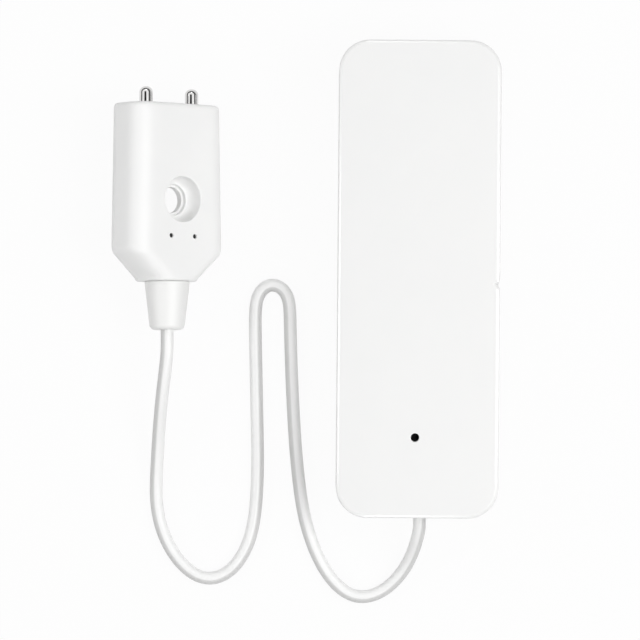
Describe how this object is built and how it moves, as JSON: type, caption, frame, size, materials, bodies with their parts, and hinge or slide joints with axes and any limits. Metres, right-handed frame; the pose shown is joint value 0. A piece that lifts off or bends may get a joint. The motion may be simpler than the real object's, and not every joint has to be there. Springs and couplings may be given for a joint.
{
  "type": "water leak sensor",
  "caption": "White battery leak sensor: slim rounded case with a reset pinhole, a thin lead, and a small tapered probe with sensing pins and a screw hole.",
  "frame": {"origin": "middle of the case's flat back face, where it is stuck or laid down", "axes": "+Z out of the face, +Y along the case towards its top end (away from the lead), +X to the right seen from the front"},
  "size_m": [0.0599, 0.0874, 0.017],
  "materials": {
    "case_plastic": "fine satin moulding",
    "probe_plastic": "fine satin moulding",
    "lead_rubber": "smooth soft moulding",
    "lead_jacket": "smooth satin jacket with a pale grey stripe along one side",
    "pin_chrome": "polished plating",
    "contact_rubber": "dull carbon-filled rubber",
    "board_resin": "green solder mask",
    "chip_resin": "fine moulded resin",
    "tin_plate": "tin plated sheet",
    "antenna_copper": "gold flash on copper",
    "capacitor_resin": "moulded resin",
    "small_part_ceramic": "fired ceramic",
    "led_base": "moulded resin",
    "led_lens": "clear resin over phosphor",
    "switch_plastic": "black moulding",
    "screw_steel": "zinc plated",
    "connector_nylon": "natural nylon",
    "core_insulation": "smooth insulation, one core red and one black",
    "tray_plastic": "fine satin moulding",
    "contact_nickel": "nickel plated",
    "cell_can": "nickel plated can",
    "cell_sleeve": "plain printed film"
  },
  "bodies": {
    "case": {"rear_housing": "case_plastic", "main_board": "board_resin", "radio_chip": "chip_resin", "crystal": "tin_plate", "antenna": "antenna_copper", "capacitor": "capacitor_resin", "small_components": "small_part_ceramic", "led_base": "led_base", "led_lens": "led_lens", "switch_body": "switch_plastic", "switch_plate": "tin_plate", "switch_legs": "tin_plate", "board_screws": "screw_steel", "wire_header": "connector_nylon", "wire_plug": "connector_nylon", "core_wires": "core_insulation", "battery_tray": "tray_plastic", "bridge_contact": "contact_nickel", "bridge_spring": "contact_nickel", "positive_contact": "contact_nickel", "negative_contact": "contact_nickel", "negative_spring": "contact_nickel", "battery_cell_1": "cell_can", "battery_cell_2": "cell_can", "battery_sleeve_1": "cell_sleeve", "battery_sleeve_2": "cell_sleeve", "cable_grommet": "lead_rubber", "cable_tie": "connector_nylon", "cable_end_case": "lead_jacket", "sensor_cable": "lead_jacket", "cable_end_probe": "lead_jacket", "strain_relief": "lead_rubber", "probe_shell": "probe_plastic", "probe_back": "probe_plastic", "probe_board": "board_resin", "probe_pin_1": "pin_chrome", "probe_pin_2": "pin_chrome", "face_contacts": "contact_rubber", "probe_cores": "core_insulation"},
    "cover": {"front_cover": "case_plastic"},
    "button": {"reset_button": "switch_plastic"}
  },
  "joints": [
    {"name": "cover_lift", "type": "slide", "parent": "case", "child": "cover", "axis": [0, 0, 1], "range_m": [0, 0.03]},
    {"name": "button_press", "type": "slide", "parent": "case", "child": "button", "axis": [0, 0, -1], "range_m": [0, 0.00025], "stiffness_N_per_m": 600}
  ]
}
